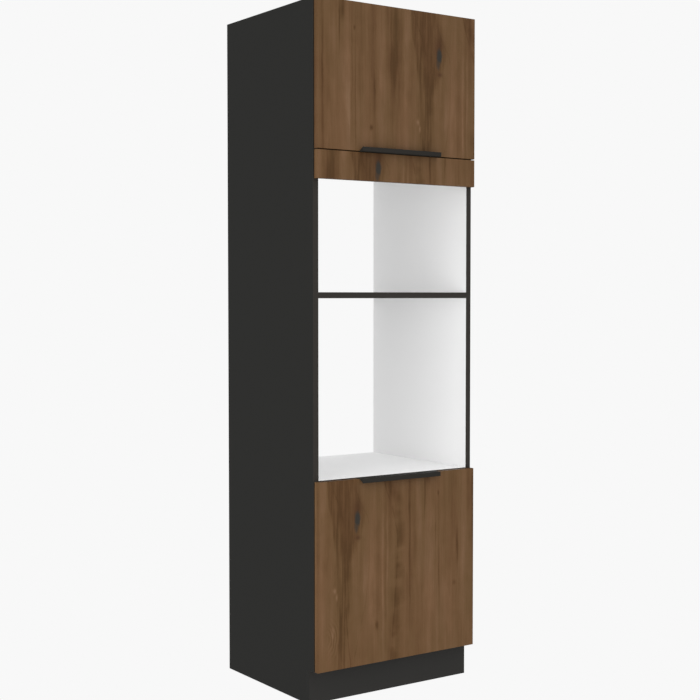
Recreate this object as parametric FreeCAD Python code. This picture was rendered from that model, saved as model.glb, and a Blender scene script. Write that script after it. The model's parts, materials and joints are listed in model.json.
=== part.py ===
import FreeCAD, Part
import math
import os

os.makedirs("parts", exist_ok=True)

# Tall oven housing unit. Millimetres, +Z up, the front faces -Y.
# The origin lies on the floor, under the middle of the whole unit.

# Overall
unit_width = 600.0
unit_height = 2100.0
carcass_depth = 507.0        # from the banded front edges to the rear edges
board = 18.0                 # thickness of the carcass boards
edge_band = 0.8              # glued edge strips
floor_clearance = 1.0        # the side panels end just above the floor

# Levels above the floor
plinth_top = 104.0
oven_shelf_top = 676.0
microwave_shelf_top = 1236.0
filler_bottom = 1570.0
upper_floor_top = 1658.0

# Plinth
plinth_recess = 26.0
plinth_board = 18.0

# Doors and filler strip
door_thickness = 17.0
door_gap = 3.0               # air between a door's back and the carcass
door_side_reveal = 2.0
door_top_reveal = 2.0
door_bottom_reveal = 1.0
door_overhang = 0.5          # the upper door reaches this far below the upper floor's top
filler_gap = 3.0             # between the upper door and the filler strip
front_chamfer = 0.5

# Edge pulls, folded from sheet
pull_length = 296.0
pull_wall = 2.0
pull_projection = 20.0       # in front of the door's face
pull_lip = 13.5
pull_back_leg = 20.0
pull_inner_bend = 0.6        # inner radius of the fold at the lip
pull_tip_share = 0.8         # how much of half the wall is rounded off at the lip's end
pull_screw_spacing = 120.0

# Back boards in grooves
back_board = 3.0
groove_clearance = 0.1
groove_depth = 6.0
groove_end_play = 0.3
back_inset = 12.0            # from the rear edges to the groove

# Loose shelves
loose_shelf_side_play = 1.0
loose_shelf_front_inset = 22.0
loose_shelf_back_play = 2.0
upper_loose_shelf_top = 1870.0
lower_loose_shelf_top = 394.0
pin_radius = 2.5
pin_hole_depth = 9.0
pin_length = 8.5
pin_collar_radius = 4.5
pin_collar = 1.2
pin_rest_radius = 3.2
pin_rest_length = 8.0
pin_pitch = 32.0
pin_front_inset = 60.0
pin_back_inset = 70.0
seat_clearance = 0.1

# Cam fittings and dowels
connector_inset = 60.0       # from the front and the rear edges
connector_to_dowel = 32.0
cam_setback = 34.0           # cam centre from the panel's end
cam_radius = 7.3
cam_clearance = 0.2
cam_height = 12.6
cam_slot_width = 1.8
cam_slot_depth = 1.8
bolt_bite = 11.0             # depth of the bolt in the side panel
bolt_thread_radius = 2.9
bolt_shank_radius = 2.5
bolt_collar_radius = 3.8
bolt_collar = 2.5
bolt_neck_radius = 1.8
bolt_head_radius = 3.1
bolt_head = 3.0
bolt_clearance = 0.1
dowel_radius = 4.0
dowel_length = 30.0
dowel_bite = 12.0            # depth of a dowel in the side panel or the plinth board
dowel_clearance = 0.1
dowel_end_play = 0.5
plinth_dowel_spacing = 46.0

# Concealed hinges, with one pivot pin in each cup
hinge_end_distance = 80.0    # from a door's end to its hinge
pivot_from_side = 9.4        # from the outer face of the side panel
pivot_from_front = 12.0      # in front of the carcass
cup_radius = 17.5
cup_rim = 3.0                # wood between the door's edge and the cup
cup_depth = 12.4
cup_wall = 0.9
cup_flange = 1.2
cup_pocket_clearance = 0.1
cup_wing_height = 54.0
cup_wing_width = 14.0
cup_wing_radius = 5.0
cup_screw_spacing = 45.0
cup_screw_offset = 9.5       # from the cup's centre, away from the door's edge
hinge_pin_radius = 1.2
hinge_pin_clearance = 0.05
hinge_pin_seat = 0.01        # play of the pressed-in pin in the cup's wall
hinge_pin_cover = 0.2        # wall left over each end of the pin
arm_sheet = 1.8
arm_width = 12.0
arm_eye_radius = 2.0
arm_leg_from_side = 21.4     # middle of the leg that leaves the cup
arm_leg_end = 8.0            # behind the carcass front
arm_web_start = 18.0
arm_end = 62.0
arm_bend = 1.2
arm_cheek = 1.2
arm_cheek_clearance = 0.2
plate_base = 2.0
plate_dome = 5.0
plate_dome_width = 12.0
plate_dome_start = 24.0      # behind the carcass front
plate_dome_end = 60.0
plate_wing_height = 48.0
plate_wing_width = 16.0
plate_wing_radius = 4.0
plate_screw_setback = 37.0   # from the carcass front to the line of screws
plate_screw_spacing = 32.0
arm_screw_radius = 1.9
arm_screw_front = 30.0
arm_screw_back = 54.0
arm_screw_length = 7.0
arm_screw_head = 1.6
arm_screw_head_radius = 3.4
arm_screw_slot = 1.0

# Magnetic catches
catch_from_middle = 230.0
catch_length = 32.0
catch_depth = 28.0
catch_height = 10.0
catch_air = 0.2              # between the pole plates and the strike plate
pole_plate = 1.2
pole_proud = 0.6
pole_length = 16.0
catch_screw_back = 6.6       # from the housing's back to its screws
catch_screw_side = 5.0       # from the housing's ends to its screws
strike_thickness = 1.2
strike_length = 22.0
strike_height = 12.0
strike_corner = 2.0
strike_drop = 1.0            # from the carrying panel's face to the strike plate's edge

# Door bumpers
bumper_radius = 4.0
bumper_air = 0.3
bumper_end_distance = 30.0

# Filler brackets
bracket_height = 50.0
bracket_depth = 34.0
bracket_reach = 30.0
bracket_drop = 3.0           # below the upper compartment's floor

# Levelling feet
foot_inset = 40.0
foot_front_inset = 90.0
foot_bracket_level = 46.0
foot_bracket_sheet = 2.5
foot_bracket_width = 36.0
foot_bracket_height = 42.0
foot_bracket_reach = 38.0
foot_from_side = 20.0
foot_stud_radius = 4.0
foot_stud_clearance = 0.1
foot_stud_top = 70.0
foot_pad_radius = 15.0
foot_pad = 6.0
foot_nut_width = 13.0
foot_nut = 5.0
foot_screw_spacing = 20.0
foot_screw_drop = 12.0       # below the bracket's upper edge
foot_pad_chamfer = 1.0

# Wall brackets
wall_bracket_spacing = 400.0
wall_bracket_width = 40.0
wall_bracket_sheet = 2.0
wall_bracket_leg = 30.0
wall_hole_radius = 3.0
wall_hole_drop = 18.0        # below the top panel
wall_hole_play = 1.0

# Wood screws
screw_radius = 1.7
screw_head_radius = 3.3
screw_head = 1.6
screw_length = 12.0
screw_tip = 2.5
screw_tip_radius = 0.4
screw_clearance = 0.05
pilot_extra = 0.5
euro_radius = 2.5
euro_head_radius = 4.0
euro_length = 13.0

# Worked out from the values above
half_width = unit_width / 2
inner_half = half_width - board
total_depth = pull_projection + door_thickness + door_gap + carcass_depth
back_plane = total_depth / 2
front_plane = back_plane - carcass_depth
panel_front = front_plane + edge_band
door_back = front_plane - door_gap
door_front = door_back - door_thickness
pull_front = door_front - pull_projection
pull_bend = pull_inner_bend + pull_wall
door_half = half_width - door_side_reveal
notch_back = front_plane + plinth_recess + plinth_board
upper_door_top = unit_height - door_top_reveal
upper_door_bottom = upper_floor_top - door_overhang
filler_top = upper_door_bottom - filler_gap
lower_door_top = oven_shelf_top - pull_wall
lower_door_bottom = plinth_top + door_bottom_reveal
top_underside = unit_height - board
bottom_panel_top = plinth_top + board
panel_tops = {
    "top_panel": unit_height,
    "upper_floor_panel": upper_floor_top,
    "microwave_shelf": microwave_shelf_top,
    "oven_shelf": oven_shelf_top,
    "bottom_panel": bottom_panel_top,
}
connector_depths = (front_plane + connector_inset, back_plane - connector_inset)
dowel_depths = (
    connector_depths[0] + connector_to_dowel,
    connector_depths[1] - connector_to_dowel,
)
back_front_face = back_plane - back_inset - back_board
hinge_x = half_width - pivot_from_side
hinge_y = front_plane - pivot_from_front
cup_centre = door_side_reveal + cup_rim + cup_radius
plinth_dowel_heights = (
    (plinth_top + floor_clearance - plinth_dowel_spacing) / 2,
    (plinth_top + floor_clearance + plinth_dowel_spacing) / 2,
)
upper_hinges = (upper_door_bottom + hinge_end_distance, upper_door_top - hinge_end_distance)
lower_hinges = (lower_door_bottom + hinge_end_distance, lower_door_top - hinge_end_distance)

left = -1
right = 1
same_place = 1e-6            # two places closer than this are one
up = FreeCAD.Vector(0, 0, 1)
back = FreeCAD.Vector(0, 1, 0)
front = FreeCAD.Vector(0, -1, 0)
across = FreeCAD.Vector(1, 0, 0)


def point(x, y, z):
    return FreeCAD.Vector(x, y, z)


def block(x0, x1, y0, y1, z0, z1):
    """A rectangular solid between two x, two y and two z places, in any order."""
    corner = point(min(x0, x1), min(y0, y1), min(z0, z1))
    return Part.makeBox(abs(x1 - x0), abs(y1 - y0), abs(z1 - z0), corner)


def rod(radius, start, direction, length):
    return Part.makeCylinder(radius, length, start, direction)


def turned(profile, start, direction):
    """A turned solid from (distance along the axis, radius) pairs."""
    outline = [point(0, 0, profile[0][0])]
    outline += [point(radius, 0, distance) for distance, radius in profile]
    outline += [point(0, 0, profile[-1][0])]
    face = Part.Face(Part.makePolygon(outline + outline[:1]))
    solid = face.revolve(point(0, 0, 0), up, 360)
    solid.Placement = FreeCAD.Placement(start, FreeCAD.Rotation(up, direction))
    return solid


def extruded(corners, depth):
    """A closed flat outline swept along a vector."""
    return Part.Face(Part.makePolygon(corners + corners[:1])).extrude(depth)


def rounded(solid, radius, direction, keep=None):
    """The solid with its straight edges along a direction rounded."""
    edges = []
    for edge in solid.Edges:
        if not isinstance(edge.Curve, Part.Line):
            continue
        if abs(abs(edge.Curve.Direction.dot(direction)) - 1) > same_place:
            continue
        if keep is None or keep(edge.CenterOfMass):
            edges.append(edge)
    return solid.makeFillet(radius, edges)


def wood_screw(start, direction, length=None):
    """A countersunk wood screw whose head is flush at its start."""
    reach = length or screw_length
    profile = [
        (0, screw_head_radius),
        (screw_head, screw_radius),
        (reach - screw_tip, screw_radius),
        (reach, screw_tip_radius),
    ]
    return turned(profile, start, direction)


def screw_hole(start, direction, length=None):
    """The countersink and pilot hole that a wood screw sits in."""
    reach = (length or screw_length) + pilot_extra
    head = screw_head_radius + screw_clearance
    shank = screw_radius + screw_clearance
    profile = [(0, head), (screw_head + screw_clearance, shank), (reach, shank)]
    return turned(profile, start, direction)


def save(name, solids):
    """Write one named sub-part, which may be a group of separate solids."""
    shape = solids[0] if len(solids) == 1 else Part.Compound(solids)
    shape.exportStep("parts/" + name + ".step")
    volume = sum(solid.Volume for solid in solids)
    print(name, len(solids), "solids", round(volume), "mm3", all(s.isValid() for s in solids))


# Joints between the fixed panels and the side panels

def panel_middles():
    return [top - board / 2 for top in panel_tops.values()]


def bolt_start(side, y, z):
    return point(side * (inner_half + bolt_bite), y, z)


def bolt_profile():
    neck_end = bolt_bite + cam_setback - bolt_head / 2
    return [
        (0, bolt_thread_radius),
        (bolt_bite, bolt_thread_radius),
        (bolt_bite, bolt_collar_radius),
        (bolt_bite + bolt_collar, bolt_collar_radius),
        (bolt_bite + bolt_collar, bolt_shank_radius),
        (bolt_bite + cam_setback - cam_radius, bolt_shank_radius),
        (bolt_bite + cam_setback - cam_radius, bolt_neck_radius),
        (neck_end, bolt_neck_radius),
        (neck_end, bolt_head_radius),
        (neck_end + bolt_head, bolt_head_radius),
    ]


def connector_bolts():
    bolts = []
    for z in panel_middles():
        for side in (left, right):
            for y in connector_depths:
                bolts.append(turned(bolt_profile(), bolt_start(side, y, z), across * -side))
    return bolts


def connector_cams():
    cams = []
    half = cam_slot_width / 2
    for top in panel_tops.values():
        underside = top - board
        for side in (left, right):
            for y in connector_depths:
                centre = point(side * (inner_half - cam_setback), y, underside)
                cam = rod(cam_radius, centre, up, cam_height)
                mouth = point(centre.x, y, top - board / 2) - across * side * bolt_head
                cavity_radius = bolt_head_radius + cam_clearance
                cavity = rod(cavity_radius, mouth, across * side, cam_radius + bolt_head)
                drive = block(centre.x - cam_radius / 2, centre.x + cam_radius / 2,
                              y - half, y + half, underside, underside + cam_slot_depth)
                cams.append(cam.cut([cavity, drive]))
    return cams


def dowel_start(side, y, z):
    return point(side * (inner_half + dowel_bite), y, z)


def wooden_dowels():
    dowels = []
    for z in panel_middles():
        for side in (left, right):
            for y in dowel_depths:
                start = dowel_start(side, y, z)
                dowels.append(rod(dowel_radius, start, across * -side, dowel_length))
    for side in (left, right):
        for z in plinth_dowel_heights:
            start = point(side * (half_width - board / 2), notch_back - dowel_bite, z)
            dowels.append(rod(dowel_radius, start, back, dowel_length))
    return dowels


def side_joint_holes(side):
    """Bolt and dowel holes in the inner face of a side panel."""
    holes = []
    for z in panel_middles():
        for y in connector_depths:
            hole = rod(bolt_thread_radius + bolt_clearance, point(side * inner_half, y, z),
                       across * side, bolt_bite + pilot_extra)
            holes.append(hole)
        for y in dowel_depths:
            hole = rod(dowel_radius + dowel_clearance, point(side * inner_half, y, z),
                       across * side, dowel_bite + dowel_end_play)
            holes.append(hole)
    for z in plinth_dowel_heights:
        start = point(side * (half_width - board / 2), notch_back, z)
        depth = dowel_length - dowel_bite + dowel_end_play
        holes.append(rod(dowel_radius + dowel_clearance, start, back, depth))
    return holes


# Carcass

def back_groove(z0, z1):
    """The groove around a closed compartment that its back board sits in."""
    reach = inner_half + groove_depth
    return block(-reach, reach, back_front_face - groove_clearance,
                 back_front_face + back_board + groove_clearance,
                 z0 - groove_depth, z1 + groove_depth)


def compartment_grooves():
    return [
        back_groove(upper_floor_top, top_underside),
        back_groove(bottom_panel_top, oven_shelf_top - board),
    ]


def back_board_panel(z0, z1):
    reach = groove_depth - groove_end_play
    return block(-inner_half - reach, inner_half + reach, back_front_face,
                 back_front_face + back_board, z0 - reach, z1 + reach)


def pin_heights(shelf_top):
    used = shelf_top - board - seat_clearance - pin_rest_radius
    return (used - pin_pitch, used, used + pin_pitch)


def pin_depths():
    return (front_plane + pin_front_inset, back_plane - pin_back_inset)


def pin_holes(side):
    holes = []
    for shelf_top in (upper_loose_shelf_top, lower_loose_shelf_top):
        for z in pin_heights(shelf_top):
            for y in pin_depths():
                hole = rod(pin_radius + seat_clearance, point(side * inner_half, y, z),
                           across * side, pin_hole_depth)
                holes.append(hole)
    return holes


def side_panel(side):
    """A side panel, notched at the front of its foot for the plinth board."""
    x = side * inner_half
    outline = [
        point(x, notch_back, floor_clearance),
        point(x, back_plane, floor_clearance),
        point(x, back_plane, unit_height),
        point(x, panel_front, unit_height),
        point(x, panel_front, plinth_top),
        point(x, notch_back, plinth_top),
    ]
    panel = extruded(outline, across * side * board)
    cutters = side_joint_holes(side) + pin_holes(side) + compartment_grooves()
    cutters += foot_screw_holes(side) + filler_side_holes(side)
    if side == right:
        cutters += plate_screw_holes()
    return panel.cut(cutters)


def fixed_panel(name):
    """A panel between the sides, drilled for its cams, bolts and dowels."""
    top = panel_tops[name]
    underside = top - board
    middle = top - board / 2
    panel = block(-inner_half, inner_half, panel_front, back_plane, underside, top)
    cutters = []
    for side in (left, right):
        end = side * inner_half
        for y in connector_depths:
            bore = rod(bolt_collar_radius + bolt_clearance, point(end, y, middle),
                       across * -side, cam_setback)
            centre = point(end - side * cam_setback, y, underside)
            pocket = rod(cam_radius + cam_clearance, centre, up, cam_height + cam_clearance)
            cutters += [bore, pocket]
        for y in dowel_depths:
            bore = rod(dowel_radius + dowel_clearance, point(end, y, middle),
                       across * -side, dowel_length - dowel_bite + dowel_end_play)
            cutters.append(bore)
    if name in ("top_panel", "upper_floor_panel", "oven_shelf", "bottom_panel"):
        cutters += compartment_grooves()
    if name == "top_panel":
        cutters += wall_bracket_top_holes()
    if name == "upper_floor_panel":
        cutters += catch_screw_holes(upper_floor_top, 1)
    if name == "oven_shelf":
        cutters += catch_screw_holes(oven_shelf_top - board, -1)
    return panel.cut(cutters)


def plinth_panel():
    y0 = front_plane + plinth_recess
    panel = block(-half_width, half_width, y0, notch_back, floor_clearance, plinth_top)
    holes = []
    for side in (left, right):
        for z in plinth_dowel_heights:
            start = point(side * (half_width - board / 2), notch_back, z)
            holes.append(rod(dowel_radius + dowel_clearance, start, front,
                             dowel_bite + dowel_end_play))
    return panel.cut(holes)


def side_edge_bands():
    bands = []
    for side in (left, right):
        bands.append(block(side * inner_half, side * half_width, front_plane, panel_front,
                           plinth_top, unit_height))
    return bands


def shelf_edge_bands():
    return [
        block(-inner_half, inner_half, front_plane, panel_front, top - board, top)
        for top in panel_tops.values()
    ]


def loose_shelf(top):
    reach = inner_half - loose_shelf_side_play
    rear = back_front_face - loose_shelf_back_play
    return block(-reach, reach, front_plane + loose_shelf_front_inset, rear, top - board, top)


def shelf_support_pins():
    profile = [
        (0, pin_radius),
        (pin_length, pin_radius),
        (pin_length, pin_collar_radius),
        (pin_length + pin_collar, pin_collar_radius),
        (pin_length + pin_collar, pin_rest_radius),
        (pin_length + pin_collar + pin_rest_length, pin_rest_radius),
    ]
    pins = []
    for shelf_top in (upper_loose_shelf_top, lower_loose_shelf_top):
        z = pin_heights(shelf_top)[1]
        underside = shelf_top - board
        for side in (left, right):
            for y in pin_depths():
                start = point(side * (inner_half + pin_length), y, z)
                pin = turned(profile, start, across * -side)
                flat = block(side * inner_half, side * (inner_half - board), y - board,
                             y + board, underside, underside + board)
                pins.append(pin.cut(flat))
    return pins


# Doors and filler strip

def front_core(z0, z1):
    """The board of a door or the filler strip, inside its edging."""
    reach = door_half - edge_band
    return block(-reach, reach, door_front, door_back, z0 + edge_band, z1 - edge_band)


def front_edging(z0, z1):
    """The four strips round a board, with their outer front edges broken."""
    outer = block(-door_half, door_half, door_front, door_back, z0, z1)
    edges = [e for e in outer.Edges if abs(e.CenterOfMass.y - door_front) < same_place]
    return outer.makeChamfer(front_chamfer, edges).cut(front_core(z0, z1))


def door_board(z0, z1, hinges, pull_holes, strike_z):
    cutters = list(pull_holes)
    for z in hinges:
        centre = point(half_width - cup_centre, door_back, z)
        cutters.append(rod(cup_radius + cup_pocket_clearance, centre, front,
                           cup_depth + cup_pocket_clearance))
        for spot in cup_screw_spots(z):
            cutters.append(screw_hole(spot, front))
    cutters.append(screw_hole(strike_screw_spot(strike_z), front))
    return front_core(z0, z1).cut(cutters)


def door_bumpers(z0, z1):
    """Pads on the closing edge that meet the side panel's front edge."""
    x = -(half_width - board / 2)
    bumpers = []
    for z in (z0 + bumper_end_distance, z1 - bumper_end_distance):
        start = point(x, door_back, z)
        height = door_gap - bumper_air
        profile = [(0, bumper_radius), (height / 2, bumper_radius),
                   (height, bumper_radius - height / 2)]
        bumpers.append(turned(profile, start, back))
    return bumpers


# Edge pulls

def pull(edge_z, outward):
    """A folded pull on a door's edge: back leg, flange over the edge, and lip in front.

    outward is the direction in z that leaves the door at that edge.
    """
    outer_z = edge_z + outward * pull_wall
    leg_back = door_back + pull_wall
    corners = [
        (leg_back, outer_z),
        (pull_front, outer_z),
        (pull_front, outer_z - outward * pull_lip),
        (pull_front + pull_wall, outer_z - outward * pull_lip),
        (pull_front + pull_wall, edge_z),
        (door_back, edge_z),
        (door_back, outer_z - outward * pull_back_leg),
        (leg_back, outer_z - outward * pull_back_leg),
    ]
    half = pull_length / 2
    tip_z = outer_z - outward * pull_lip
    solid = extruded([point(-half, y, z) for y, z in corners], across * pull_length)
    solid = rounded(solid, pull_bend, across, lambda c: abs(c.z - outer_z) < same_place)
    solid = rounded(solid, pull_inner_bend, across, lambda c: in_front_of_door(c, edge_z))
    solid = rounded(solid, pull_tip_share * pull_wall / 2, across,
                    lambda c: in_front_of_door(c, tip_z))
    holes = [screw_hole(spot, front) for spot in pull_screw_spots(edge_z, outward)]
    return solid.cut(holes)


def in_front_of_door(spot, z):
    """True for a place at one height in front of the door's face."""
    return abs(spot.z - z) < same_place and spot.y < door_front


def pull_screw_spots(edge_z, outward):
    z = edge_z - outward * (pull_back_leg - pull_wall) / 2
    y = door_back + pull_wall
    return [point(x, y, z) for x in (-pull_screw_spacing, 0, pull_screw_spacing)]


# Hinges. u runs inward from the outer face of the hinged side panel,
# v runs forward from the carcass front.

def hinge_place(u, v, z):
    return point(half_width - u, front_plane - v, z)


def cup_screw_spots(z):
    u = cup_centre + cup_screw_offset
    v = door_gap - cup_flange
    return [hinge_place(u, v, z + s * cup_screw_spacing / 2) for s in (-1, 1)]


def hinge_cup(z):
    """A pressed cup with a screwed wing, and bores for the pivot pin in its wall."""
    flange_face = door_gap - cup_flange
    shell = rod(cup_radius, hinge_place(cup_centre, flange_face, z), front,
                cup_depth + cup_flange)
    wing_u = cup_centre + cup_screw_offset
    wing = block(half_width - wing_u - cup_wing_width / 2,
                 half_width - wing_u + cup_wing_width / 2,
                 front_plane - flange_face, front_plane - door_gap,
                 z - cup_wing_height / 2, z + cup_wing_height / 2)
    wing = rounded(wing, cup_wing_radius, back)
    hollow = rod(cup_radius - cup_wall, hinge_place(cup_centre, flange_face, z), front,
                 cup_depth + cup_flange - cup_wall)
    bore_start = hinge_place(pivot_from_side, pivot_from_front, z - cup_radius)
    bore = rod(hinge_pin_radius + hinge_pin_seat, bore_start, up, 2 * cup_radius)
    holes = [screw_hole(spot, front) for spot in cup_screw_spots(z)]
    cup = shell.fuse(wing).removeSplitter()
    return cup.cut([hollow, bore] + holes)


def hinge_pin(z):
    """The pivot pin, trimmed to the cup's round wall."""
    start = hinge_place(pivot_from_side, pivot_from_front, z - cup_radius)
    pin = rod(hinge_pin_radius, start, up, 2 * cup_radius)
    trim = rod(cup_radius - hinge_pin_cover, hinge_place(cup_centre, door_gap, z), front,
               cup_depth)
    return pin.common(trim)


def sheet_strip(path, z, width):
    """A strip of sheet bent along a path of (u, v) points, centred on the path."""
    half = arm_sheet / 2
    sides = ([], [])
    for index, (u, v) in enumerate(path):
        before = path[max(index - 1, 0)]
        after = path[min(index + 1, len(path) - 1)]
        into = unit_vector(before, (u, v)) or unit_vector((u, v), after)
        out = unit_vector((u, v), after) or into
        mid = unit_vector((0, 0), (into[0] + out[0], into[1] + out[1]))
        scale = half / (mid[0] * into[0] + mid[1] * into[1])
        sides[0].append((u - mid[1] * scale, v + mid[0] * scale))
        sides[1].append((u + mid[1] * scale, v - mid[0] * scale))
    outline = sides[0] + sides[1][::-1]
    corners = [hinge_place(u, v, z - width / 2) for u, v in outline]
    return extruded(corners, up * width)


def unit_vector(start, end):
    du = end[0] - start[0]
    dv = end[1] - start[1]
    length = math.hypot(du, dv)
    return (du / length, dv / length) if length else None


def arm_path():
    """Middle line of the arm: over the pin, across the cup, out of it and along the plate."""
    neck_v = pivot_from_front + arm_eye_radius - arm_sheet / 2
    return [
        (pivot_from_side, neck_v),
        (arm_leg_from_side, neck_v),
        (arm_leg_from_side, -arm_leg_end),
        (arm_web_middle(), -arm_web_start),
        (arm_web_middle(), -arm_end),
    ]


def arm_web_middle():
    return board + plate_base + plate_dome + arm_cheek_clearance + arm_sheet / 2


def arm_screw_places():
    return (arm_screw_front, arm_screw_back)


def hinge_arm(z):
    """A cranked arm with a rolled eye in front and a channel over the plate's dome."""
    path_end = front_plane + arm_end
    strip = rounded(sheet_strip(arm_path(), z, arm_width), arm_bend, up,
                    lambda c: c.x < hinge_x - arm_sheet and c.y < path_end - arm_sheet)
    eye_start = hinge_place(pivot_from_side, pivot_from_front, z - arm_width / 2)
    eye = rod(arm_eye_radius, eye_start, up, arm_width)
    channel_half = plate_dome_width / 2 + arm_cheek_clearance + arm_cheek
    web_outer = arm_web_middle() + arm_sheet / 2
    web_inner = arm_web_middle() - arm_sheet / 2
    web = block(half_width - web_inner, half_width - web_outer, front_plane + arm_web_start,
                front_plane + arm_end, z - channel_half, z + channel_half)
    cheek_foot = board + plate_base + arm_cheek_clearance
    parts = [eye, web]
    for s in (-1, 1):
        cheek = block(half_width - cheek_foot, half_width - web_inner,
                      front_plane + arm_web_start, front_plane + arm_end,
                      z + s * (channel_half - arm_cheek), z + s * channel_half)
        parts.append(cheek)
    arm = strip.fuse(parts).removeSplitter()
    bore = rod(hinge_pin_radius + hinge_pin_clearance, eye_start, up, arm_width)
    holes = [bore]
    for setback in arm_screw_places():
        holes.append(rod(arm_screw_radius + screw_clearance,
                         hinge_place(web_outer, -setback, z), across, 2 * arm_sheet))
    return arm.cut(holes)


def mounting_plate(z):
    """A cross-shaped plate on the side panel with a dome that carries the arm."""
    spine = block(half_width - board, half_width - board - plate_base,
                  front_plane + plate_dome_start, front_plane + plate_dome_end,
                  z - plate_dome_width / 2, z + plate_dome_width / 2)
    wing_middle = front_plane + plate_screw_setback
    wing = block(half_width - board, half_width - board - plate_base,
                 wing_middle - plate_wing_width / 2, wing_middle + plate_wing_width / 2,
                 z - plate_wing_height / 2, z + plate_wing_height / 2)
    wing = rounded(wing, plate_wing_radius, across)
    dome = block(half_width - board, half_width - board - plate_base - plate_dome,
                 front_plane + plate_dome_start, front_plane + plate_dome_end,
                 z - plate_dome_width / 2, z + plate_dome_width / 2)
    plate = spine.fuse([wing, dome]).removeSplitter()
    holes = [euro_hole(spot) for spot in plate_screw_spots(z)]
    dome_top = board + plate_base + plate_dome
    for setback in arm_screw_places():
        holes.append(rod(arm_screw_radius + screw_clearance, hinge_place(dome_top, -setback, z),
                         across, arm_screw_length))
    return plate.cut(holes)


def plate_screw_spots(z):
    u = board + plate_base
    return [hinge_place(u, -plate_screw_setback, z + s * plate_screw_spacing / 2)
            for s in (-1, 1)]


def euro_screw(start):
    profile = [
        (0, euro_head_radius),
        (screw_head, euro_radius),
        (euro_length - screw_tip, euro_radius),
        (euro_length, euro_radius - screw_tip / 2),
    ]
    return turned(profile, start, across)


def euro_hole(start):
    profile = [
        (0, euro_head_radius + screw_clearance),
        (screw_head + screw_clearance, euro_radius + screw_clearance),
        (euro_length + pilot_extra, euro_radius + screw_clearance),
    ]
    return turned(profile, start, across)


def plate_screw_holes():
    return [euro_hole(spot) for z in upper_hinges + lower_hinges for spot in plate_screw_spots(z)]


def arm_screws(z):
    """The fixing and the adjusting screw through the arm into the plate's dome."""
    web_outer = arm_web_middle() + arm_sheet / 2
    reach = arm_screw_head + arm_sheet + arm_screw_length - pilot_extra
    profile = [
        (0, arm_screw_head_radius),
        (arm_screw_head, arm_screw_head_radius),
        (arm_screw_head, arm_screw_radius),
        (reach, arm_screw_radius),
    ]
    screws = []
    for setback in arm_screw_places():
        start = hinge_place(web_outer + arm_screw_head, -setback, z)
        slot = block(start.x, start.x + arm_screw_head / 2, start.y - arm_screw_head_radius,
                     start.y + arm_screw_head_radius, z - arm_screw_slot / 2,
                     z + arm_screw_slot / 2)
        screws.append(turned(profile, start, across).cut(slot))
    return screws


# Magnetic catches. fixed_z is the face that carries the housing, and away the
# direction in z from that face into the compartment.

def catch_front():
    return door_back + strike_thickness + catch_air + pole_proud


def catch_housing(fixed_z, away):
    x = -catch_from_middle
    y0 = catch_front()
    housing = block(x - catch_length / 2, x + catch_length / 2, y0, y0 + catch_depth,
                    fixed_z, fixed_z + away * catch_height)
    slots = [pole.copy() for pole in catch_poles(fixed_z, away)]
    holes = [screw_hole(spot, up * -away, catch_screw_reach()) for spot in
             catch_screw_spots(fixed_z + away * catch_height)]
    return housing.cut(slots + holes)


def catch_screw_reach():
    return catch_height + screw_length - pilot_extra - screw_tip


def catch_screw_spots(z):
    y = catch_front() + catch_depth - catch_screw_back
    offset = catch_length / 2 - catch_screw_side
    return [point(-catch_from_middle + s * offset, y, z) for s in (-1, 1)]


def catch_screw_holes(fixed_z, away):
    spots = catch_screw_spots(fixed_z + away * catch_height)
    return [screw_hole(spot, up * -away, catch_screw_reach()) for spot in spots]


def catch_poles(fixed_z, away):
    """Two steel plates that reach just out of the housing's front."""
    poles = []
    x = -catch_from_middle
    y0 = catch_front() - pole_proud
    inset = (catch_height - 2 * pole_plate) / 3
    for level in (inset, catch_height - inset - pole_plate):
        low = fixed_z + away * level
        poles.append(block(x - pole_length / 2, x + pole_length / 2, y0, y0 + pole_length / 2,
                           low, low + away * pole_plate))
    return poles


def strike_middle(fixed_z, away):
    return fixed_z + away * (strike_drop + strike_height / 2)


def strike_screw_spot(z):
    return point(-catch_from_middle, door_back + strike_thickness, z)


def strike_plate(z):
    x = -catch_from_middle
    plate = block(x - strike_length / 2, x + strike_length / 2, door_back,
                  door_back + strike_thickness, z - strike_height / 2, z + strike_height / 2)
    plate = rounded(plate, strike_corner, back)
    return plate.cut(screw_hole(strike_screw_spot(z), front))


# Filler brackets: angles whose front leg fills the air behind the filler strip

def filler_bracket_span():
    top = upper_floor_top - board - bracket_drop
    return top - bracket_height, top


def filler_side_spots(side):
    z0, z1 = filler_bracket_span()
    x = side * (inner_half - door_gap)
    y = front_plane + bracket_depth / 2
    quarter = bracket_height / 4
    return [point(x, y, z) for z in (z0 + quarter, z1 - quarter)]


def filler_front_spots(side):
    z0, z1 = filler_bracket_span()
    x = side * (inner_half - bracket_reach / 2 - door_gap / 2)
    quarter = bracket_height / 4
    return [point(x, front_plane, z) for z in (z0 + quarter, z1 - quarter)]


def filler_side_holes(side):
    return [screw_hole(spot, across * side) for spot in filler_side_spots(side)]


def filler_front_holes(side):
    return [screw_hole(spot, front) for spot in filler_front_spots(side)]


def filler_bracket(side):
    z0, z1 = filler_bracket_span()
    x = side * inner_half
    inner_x = side * (inner_half - door_gap)
    outline = [
        (x, door_back),
        (side * (inner_half - bracket_reach), door_back),
        (side * (inner_half - bracket_reach), front_plane),
        (inner_x, front_plane),
        (inner_x, front_plane + bracket_depth),
        (x, front_plane + bracket_depth),
    ]
    angle = extruded([point(px, py, z0) for px, py in outline], up * (z1 - z0))
    return angle.cut(filler_side_holes(side) + filler_front_holes(side))


def filler_board():
    core = front_core(filler_bottom, filler_top)
    return core.cut(filler_front_holes(left) + filler_front_holes(right))


def filler_bracket_screws():
    screws = []
    for side in (left, right):
        screws += [wood_screw(spot, across * side) for spot in filler_side_spots(side)]
        screws += [wood_screw(spot, front) for spot in filler_front_spots(side)]
    return screws


# Levelling feet

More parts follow.
